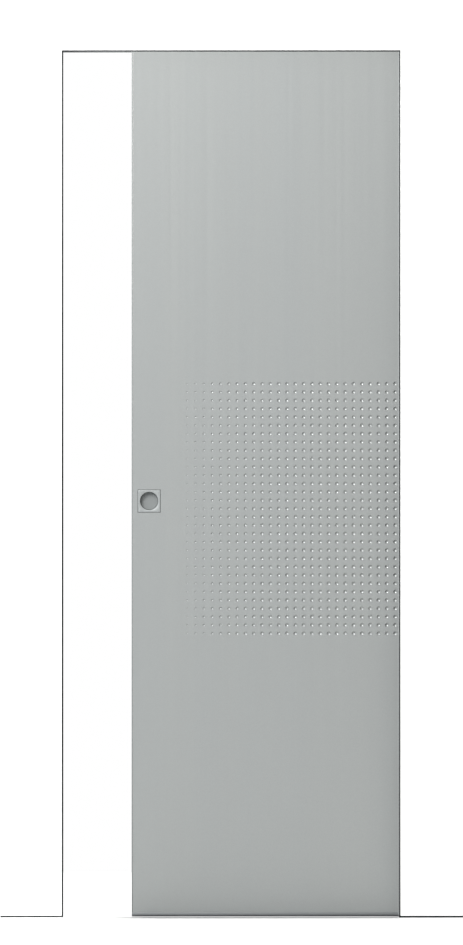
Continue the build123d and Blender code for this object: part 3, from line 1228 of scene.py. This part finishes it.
@dataclass
class FlushPull:
    """The square plate with a round finger cup that is let into a facing.

    Attributes:
        side: The side of the wall that it looks to.
        shadow_gap: How much smaller the plate is than the CAD node on each side.
        set_back: How far its face is behind the CAD node's.
        corner: How much of its four corners is taken off.
        rim: How much of its front edge is taken off.
        lip: Rounding of the cup's lip.
        plate: Place of the plate's back, from the CAD node's front.
        cup: The cup's inner radius.
        wall: Thickness of the cup.
        depth: Place of the cup's floor, from the CAD node's front.
        foot: Height over the floor at which the cup's wall has its last ring.
        groove: Width of the turned groove round the floor.
        groove_depth: Its depth.
        slope: How much its inner wall leans, and how much of its upper edge is taken off.
        dish: How much higher the floor is at the groove than in the middle.
        shares: Radii on the floor that get a ring of points, as shares of the floor's.
        shoulder: How much of the cup's outer edge is taken off.
        steps: Faces round the cup.
        finish_margin: How far the floor's finish stays inside the cup's wall.
    """

    side: Side
    shadow_gap: float = 0.5
    set_back: float = 0.4
    corner: float = 0.8
    rim: float = 0.1
    lip: float = 0.2
    plate: float = 2.5
    cup: float = 22.0
    wall: float = 1.2
    depth: float = 11.0
    foot: float = 2.0
    groove: float = 1.3
    groove_depth: float = 0.8
    slope: tuple[float, float] = (0.1, 0.15)
    dish: float = 0.5
    shares: tuple[float, ...] = (0.75, 0.5, 0.25, 0.0)
    shoulder: float = 1.0
    steps: int = 72
    finish_margin: float = 0.1

    def build(self) -> Workpiece:
        """Shapes the plate and turns the cup.

        Returns:
            The pull.
        """
        face = PULL_LOW.y + self.set_back
        back = PULL_LOW.y + self.plate
        gap = self.shadow_gap
        work = Workpiece(f"flush_pull_{self.side.word}", Body.LEAF)
        work.block(
            (PULL_LOW.x + gap, face, PULL_LOW.z + gap), (PULL_HIGH.x - gap, back, PULL_HIGH.z - gap)
        )
        corners = [e for e in work.bm.edges if abs(e.verts[0].co.y - e.verts[1].co.y) > MERGE]
        work.bevel(corners, self.corner, segments=3)
        work.bevel(edges_at(work.bm.edges, face), self.rim)
        work.open_faces()
        centre = (PULL_CENTRE[0], 0.0, PULL_CENTRE[1])
        for profile in (self.inside(face), self.outside(back)):
            work.turn(profile, centre, self.steps)
        work.close_face(face, -1)
        work.close_face(back, 1)
        work.turn_to(self.side)
        return work

    def inside(self, face: float) -> list[Span]:
        """The cup's inner profile, from its lip to the middle of its floor.

        Args:
            face: The plate's place across the wall.

        Returns:
            Radius and place of each point.
        """
        floor = PULL_LOW.y + self.depth
        island = self.cup - self.groove
        lean, edge = self.slope
        profile = [(self.cup + self.lip * out, face + self.lip * down) for out, down in LIP_ROUND]
        profile += [
            (self.cup, floor - self.foot),
            (self.cup, floor + self.groove_depth),
            (island + lean, floor + self.groove_depth),
            (island, floor - self.dish + lean),
            (island - edge, floor - self.dish),
        ]
        profile += [(island * share, floor - self.dish * share**2) for share in self.shares]
        return profile

    def outside(self, back: float) -> list[Span]:
        """The cup's outer profile, from the plate to its middle.

        Args:
            back: The place of the plate's back across the wall.

        Returns:
            Radius and place of each point.
        """
        radius = self.cup + self.wall
        bottom = PULL_LOW.y + self.depth + self.wall
        shoulder = [(radius, bottom - self.shoulder), (radius - self.shoulder, bottom)]
        return [(radius, back), *shoulder, (0.0, bottom)]

    def dress(self, work: Workpiece) -> None:
        """Gives the pull its brushed and spun steel.

        Args:
            work: The pull.
        """
        floor = self.cup - self.finish_margin
        steel = SpunSteel("satin_stainless_steel", "pull_metal", PULL_CENTRE, floor)
        work.deliver(steel, (f"pull_{self.side.word}",))


@dataclass
class SlidingLeaf:
    """The leaf with its facings, edges, bottom rail, seals and pulls.

    Attributes:
        arris: How much of the pieces' edges is taken off.
        rail_arris: How much of the bottom rail's edges is taken off.
    """

    arris: float = 0.4
    rail_arris: float = 0.12

    def build(self) -> None:
        """Builds and dresses each piece of the leaf."""
        for side in Side:
            for piece in (DimpledFacing(side), FlushPull(side)):
                piece.dress(piece.build())
        pieces = (
            ("leading_edge", "leaf_lead_edge", EDGE_STRIP, self.arris),
            ("trailing_edge", "leaf_trail_edge", EDGE_STRIP, self.arris),
            ("bottom_rail", "leaf_bottom_channel", BOTTOM_RAIL, self.rail_arris),
            ("bottom_sealing_lips", "leaf_bottom_seal", GREY_RUBBER, self.arris),
            ("edge_finger_pull", "edge_pull", ZINC_STEEL, self.arris),
        )
        for name, node, finish, arris in pieces:
            round_nodes([(name, node, finish)], Body.LEAF, arris)
        dress_node("leaf_core", CORE)


# The wall


@dataclass
class PlasteredWall:
    """The boards on both faces and the timber frame between them.

    Attributes:
        arris: How much of the pieces' edges is taken off.
    """

    arris: float = 1.2

    def build(self) -> None:
        """Dresses the boards and rounds the timber."""
        for side in Side:
            for place in ("left", "head", "pocket"):
                dress_node(f"board_{side.word}_{place}", BOARD)
        timbers = (
            ("end_stud_timber", "end_stud", STUD_WOOD),
            ("closing_stud_timber", "closing_stud", STUD_WOOD),
            ("sole_plate_timber", "sole_plate", PLATE_WOOD),
            ("header_timber", "header_beam", BEAM_WOOD),
            ("batten_timber_front", "head_batten_front", BEAM_WOOD),
            ("batten_timber_back", "head_batten_back", BEAM_WOOD),
        )
        round_nodes(timbers, Body.WALL, self.arris)


@dataclass
class PocketCassette:
    """The steel pocket: ribbed sides, end post, buffer, floor guide and sealing strips.

    Attributes:
        arris: How much of the pieces' edges is taken off.
    """

    arris: float = 0.4

    def build(self) -> None:
        """Builds and dresses each piece of the pocket."""
        pieces = (
            ("ribbed_side_front", "pocket_side_front", GALVANISED),
            ("ribbed_side_back", "pocket_side_back", GALVANISED),
            ("lipped_end_post", "end_post", GALVANISED),
            ("rubber_buffer", "pocket_buffer", RUBBER),
            ("floor_guide_moulding", "floor_guide", NYLON),
            ("floor_sealing_left", "floor_strip_left", RUBBER),
            ("floor_sealing_pocket", "floor_strip_pocket", RUBBER),
        )
        round_nodes(pieces, Body.WALL, self.arris)


@dataclass
class DoorwayTrims:
    """The thin dark profiles round the doorway and the rubber seal in the closing jamb.

    Attributes:
        arris: How much of the pieces' edges is taken off.
    """

    arris: float = 0.3

    def build(self) -> None:
        """Builds and dresses each profile."""
        pieces = (
            ("closing_jamb_profile", "closing_profile", DARK_UPRIGHT),
            ("mouth_trim_front", "mouth_profile_front", DARK_UPRIGHT),
            ("mouth_trim_back", "mouth_profile_back", DARK_UPRIGHT),
            ("head_trim_front", "head_profile_front", DARK_ALONG),
            ("head_trim_back", "head_profile_back", DARK_ALONG),
            ("closing_jamb_seal", "closing_seal", RUBBER),
        )
        round_nodes(pieces, Body.WALL, self.arris)


@dataclass
class BrushSeal:
    """A strip of nylon pile in a thin carrier, which wipes the leaf.

    Attributes:
        node: The CAD node that the brush stands for.
        side: The side of the wall that it is on.
        run: The axis that it runs along.
        carrier: The carrier's thickness.
        pitch: Distance between tufts along the run.
        rows: Rows of tufts.
        group: Tufts made one by one; the strip repeats them.
        lean: Most that a tuft leans, in degrees.
        stray: Most that it stands beside its place along the run.
        length: Its length as a share of the room, at least and at most.
        root: Its radius at the carrier, as a share of half the distance between rows.
        tip: Its radius at the leaf, as the same share.
        crease: Edges sharper than this many degrees stay crisp.
    """

    node: str
    side: Side
    run: Grain
    carrier: float = 1.2
    pitch: float = 2.0
    rows: int = 3
    group: int = 16
    lean: float = 5.0
    stray: float = 0.15
    length: Span = (0.93, 0.99)
    root: float = 0.95
    tip: float = 0.55
    crease: float = 60.0

    @property
    def spread(self) -> Grain:
        """The axis that the rows are spread along."""
        return Grain.ALONG if self.run is Grain.UPRIGHT else Grain.UPRIGHT

    def build(self) -> Workpiece:
        """Sets the tufts in the carrier.

        Returns:
            The brush.
        """
        low, high = cad_box(self.node)
        size = high - low
        margin = size[self.spread.value] / self.rows / 2
        chance = random.Random(self.node)
        work = Workpiece(f"{self.node}_pile", Body.WALL)
        for number in range(self.group):
            for row in range(self.rows):
                self.add_tuft(work, (number, row), size.y - self.carrier, margin, chance)
        group_length = self.pitch * self.group
        count = int(size[self.run.value] / group_length)
        work.repeat(count, self.run.vector(group_length))
        root = low.y + self.carrier
        near, far = Vector(low), Vector(high)
        if self.side is Side.FRONT:
            far.y = root
        else:
            root = near.y = high.y - self.carrier
            bmesh.ops.scale(work.bm, vec=(1, -1, 1), verts=work.bm.verts)
        bmesh.ops.translate(work.bm, vec=(low.x, root, low.z), verts=work.bm.verts)
        work.block(near, far)
        bmesh.ops.recalc_face_normals(work.bm, faces=work.bm.faces)
        return work

    def add_tuft(
        self,
        work: Workpiece,
        number: tuple[int, int],
        reach: float,
        margin: float,
        chance: random.Random,
    ) -> None:
        """Adds one tuft to the group.

        Args:
            work: The brush.
            number: The tuft's number along the run, and its row's.
            reach: Room from the carrier to the leaf's side of the brush.
            margin: Half the distance between rows.
            chance: Where the differences between tufts come from.
        """
        length = reach * chance.uniform(*self.length)
        lean = [math.radians(chance.uniform(-self.lean, self.lean)) for _ in range(2)]
        along = self.pitch * (number[0] + 0.5) + chance.uniform(-self.stray, self.stray)
        place = self.run.vector(along) + self.spread.vector(margin * (2 * number[1] + 1))
        matrix = (
            Matrix.Translation(place)
            @ Euler((lean[0], 0.0, lean[1])).to_matrix().to_4x4()
            @ Matrix.Translation((0, length / 2, 0))
            @ Matrix.Rotation(math.radians(-90), 4, "X")
        )
        bmesh.ops.create_cone(
            work.bm,
            cap_ends=True,
            cap_tris=False,
            segments=4,
            radius1=margin * self.root,
            radius2=margin * self.tip,
            depth=length,
            matrix=matrix,
        )

    def dress(self, work: Workpiece) -> None:
        """Gives the brush its nylon."""
        work.deliver(PILE, (self.node,), self.crease)


@dataclass
class RunningGear:
    """The track with its stops, and the carriages, wheels and hangers on the leaf.

    Attributes:
        arris: How much of the pieces' edges is taken off.
    """

    arris: float = 0.5

    def build(self) -> None:
        """Builds and dresses each piece of the gear."""
        fixed = (
            ("track_extrusion", "track_rail", MILL_ALUMINIUM),
            ("closed_stop", "track_stop_closed", ZINC_STEEL),
            ("open_stop", "track_stop_open", ZINC_STEEL),
        )
        round_nodes(fixed, Body.WALL, self.arris)
        for end in ("lead", "trail"):
            carried = (
                (f"{end}_hanger", f"hanger_{end}", ZINC_STEEL),
                (f"{end}_carriage", f"carriage_{end}", ZINC_STEEL),
                (f"{end}_nylon_wheels", f"wheels_{end}", NYLON),
            )
            round_nodes(carried, Body.LEAF, self.arris)


# The studio


@dataclass(frozen=True)
class Softbox:
    """A square soft light.

    Attributes:
        name: Its name.
        place: Where it stands.
        aim: The point that it faces.
        size: Its side.
        power: Its power in watts.
        colour: Its sRGB hex colour.
    """

    name: str
    place: Point
    aim: Point
    size: float
    power: float
    colour: str = "#FFFFFF"

    def build(self) -> bpy.types.Object:
        """Makes the light.

        Returns:
            The light.
        """
        lamp = bpy.data.lights.new(self.name, "AREA")
        lamp.shape = "SQUARE"
        lamp.size = self.size
        lamp.energy = self.power
        lamp.color = linear(self.colour)[:3]
        made = bpy.data.objects.new(self.name, lamp)
        made.location = self.place
        facing = Vector(self.aim) - Vector(self.place)
        made.rotation_euler = facing.to_track_quat("-Z", "Y").to_euler()
        bpy.context.scene.collection.objects.link(made)
        return made


KEY = Softbox("key", place=(-2.9, -3.6, 4.3), aim=(-0.2, 0.0, 1.3), size=2.8, power=545.0)
FILL = Softbox("fill", place=(1.7, -3.2, 3.9), aim=(0.0, 0.0, 1.6), size=1.6, power=42.0)
SIDE_LIGHT = Softbox(
    "side", place=(-1.5, -0.9, 0.75), aim=(-0.6, 0.0, 0.7), size=0.7, power=2.2, colour="#D9E7FF"
)
REAR = Softbox("rear", place=(2.6, 4.4, 3.2), aim=(-0.2, 0.0, 1.0), size=2.4, power=110.0)


def pieces_with(*words: str) -> list[bpy.types.Object]:
    """The scene's pieces that have one of the words in their names."""
    pieces = bpy.context.scene.objects
    return [piece for piece in pieces if any(word in piece.name for word in words)]


def light_group(name: str, pieces: Sequence[bpy.types.Object], state: str) -> bpy.types.Collection:
    """Makes a group for light linking.

    Args:
        name: The group's name.
        pieces: What is in it.
        state: INCLUDE if only the group counts for a light, EXCLUDE if all but the group does.

    Returns:
        The group.
    """
    group = bpy.data.collections.new(name)
    for piece in pieces:
        group.objects.link(piece)
    for member in group.collection_objects:
        member.light_linking.link_state = state
    return group


@dataclass
class Studio:
    """Pale floor, soft light, white surroundings and the camera.

    Attributes:
        distance: The camera's distance from the view's middle.
        view_centre: The view's middle.
        view_height: Height of what the camera sees there.
        sensor: The sensor's size along the picture's longer side, in millimetres as the lens is.
        sight: How far the camera sees.
        sky: How bright the surroundings are for the surfaces; the camera sees them white.
        sky_colour: Their colour for the surfaces.
        floor_light: Strength of the overhead light, which reaches the floor alone.
        shadow_tilt: How far it leans, and half its spread, in degrees.
        floor_half: Half the floor's width.
    """

    distance: float = 45.0
    view_centre: Point = (-0.38, -0.0625, 1.0686)
    view_height: float = 2.2695
    sensor: float = 36.0
    sight: float = 450.0
    sky: float = 0.3
    sky_colour: str = "#F6F9FF"
    floor_light: float = 3.1
    shadow_tilt: float = 4.0
    floor_half: float = 5.0

    def build(self) -> None:
        """Sets the studio up."""
        floor = self.make_floor()
        self.make_world()
        self.light_the_door(floor)
        self.light_the_floor(floor)
        self.make_camera()

    def light_the_door(self, floor: bpy.types.Object) -> None:
        """Lights the door from the front, from the side and from behind.

        The key and the fill pass the pieces that would cast a shadow on the leaf.

        Args:
            floor: The floor, which only the light from behind reaches.
        """
        over_leaf = pieces_with("head", "batten", "track")
        beside_leaf = pieces_with("mouth", "pocket", "ribbed")
        key, fill, side = KEY.build(), FILL.build(), SIDE_LIGHT.build()
        side.visible_camera = False
        for lamp, passed in ((key, over_leaf), (fill, over_leaf + beside_leaf)):
            group = light_group(f"passed_by_{lamp.name}", passed, "EXCLUDE")
            lamp.light_linking.blocker_collection = group
        all_but_floor = light_group("all_but_floor", [floor], "EXCLUDE")
        for lamp in (key, fill, side):
            lamp.light_linking.receiver_collection = all_but_floor
        REAR.build()

    def light_the_floor(self, floor: bpy.types.Object) -> None:
        """Lights the floor alone, from overhead, with the soft contact shadow of the leaf.

        Args:
            floor: The floor.
        """
        lamp = bpy.data.lights.new("overhead", "SUN")
        lamp.energy = self.floor_light
        lamp.angle = math.radians(2 * self.shadow_tilt)
        overhead = bpy.data.objects.new("overhead", lamp)
        overhead.rotation_euler = (math.radians(-self.shadow_tilt), 0.0, 0.0)
        bpy.context.scene.collection.objects.link(overhead)
        leaf = pieces_with("facing", "bottom_rail", "core", "leading", "trailing", "lips")
        linking = overhead.light_linking
        linking.receiver_collection = light_group("floor_only", [floor], "INCLUDE")
        linking.blocker_collection = light_group("leaf_only", leaf, "INCLUDE")

    def make_floor(self) -> bpy.types.Object:
        """Lays the floor, which isn't part of the door.

        Returns:
            The floor.
        """
        bm = bmesh.new()
        bmesh.ops.create_grid(bm, x_segments=1, y_segments=1, size=self.floor_half)
        mesh = bpy.data.meshes.new("studio_floor")
        bm.to_mesh(mesh)
        bm.free()
        mesh.materials.append(FLOOR.material())
        floor = bpy.data.objects.new("studio_floor", mesh)
        bpy.context.scene.collection.objects.link(floor)
        return floor

    def make_world(self) -> None:
        """Shows the camera white, and gives surfaces a dimmer sky that leaves their modelling."""
        world = bpy.data.worlds.new("white_studio")
        world.use_nodes = True
        tree = world.node_tree
        background = tree.nodes["Background"]
        seen = add_node(tree, "ShaderNodeLightPath").outputs["Is Camera Ray"]
        ends = {"Value": seen, "To Min": self.sky, "To Max": 1.0}
        strength = add_node(tree, "ShaderNodeMapRange", ends)
        tree.links.new(strength.outputs["Result"], background.inputs["Strength"])
        colour = layered(tree, self.sky_colour, (seen, "#FFFFFF"))
        tree.links.new(colour, background.inputs["Color"])
        bpy.context.scene.world = world

    def make_camera(self) -> None:
        """Puts a long lens straight in front, at the photograph's angle."""
        camera = bpy.data.cameras.new("camera")
        camera.sensor_width = self.sensor
        camera.lens = self.sensor * self.distance / self.view_height
        camera.clip_end = self.sight
        made = bpy.data.objects.new("camera", camera)
        made.location = Vector(self.view_centre) - Grain.ACROSS.vector(self.distance)
        made.rotation_euler = (math.radians(90), 0.0, 0.0)
        bpy.context.scene.collection.objects.link(made)
        bpy.context.scene.camera = made
        bpy.context.scene.view_settings.view_transform = "Standard"


def main() -> None:
    """Builds the door and its studio."""
    logging.basicConfig(level=logging.INFO, format="%(name)s: %(message)s")
    for assembly in (SlidingLeaf(), PlasteredWall(), PocketCassette(), DoorwayTrims()):
        assembly.build()
    for side in Side:
        for node, run in (("mouth_brush", Grain.UPRIGHT), ("head_brush", Grain.ALONG)):
            brush = BrushSeal(f"{node}_{side.word}", side, run)
            brush.dress(brush.build())
    RunningGear().build()
    Studio().build()


if __name__ == "__main__":
    main()
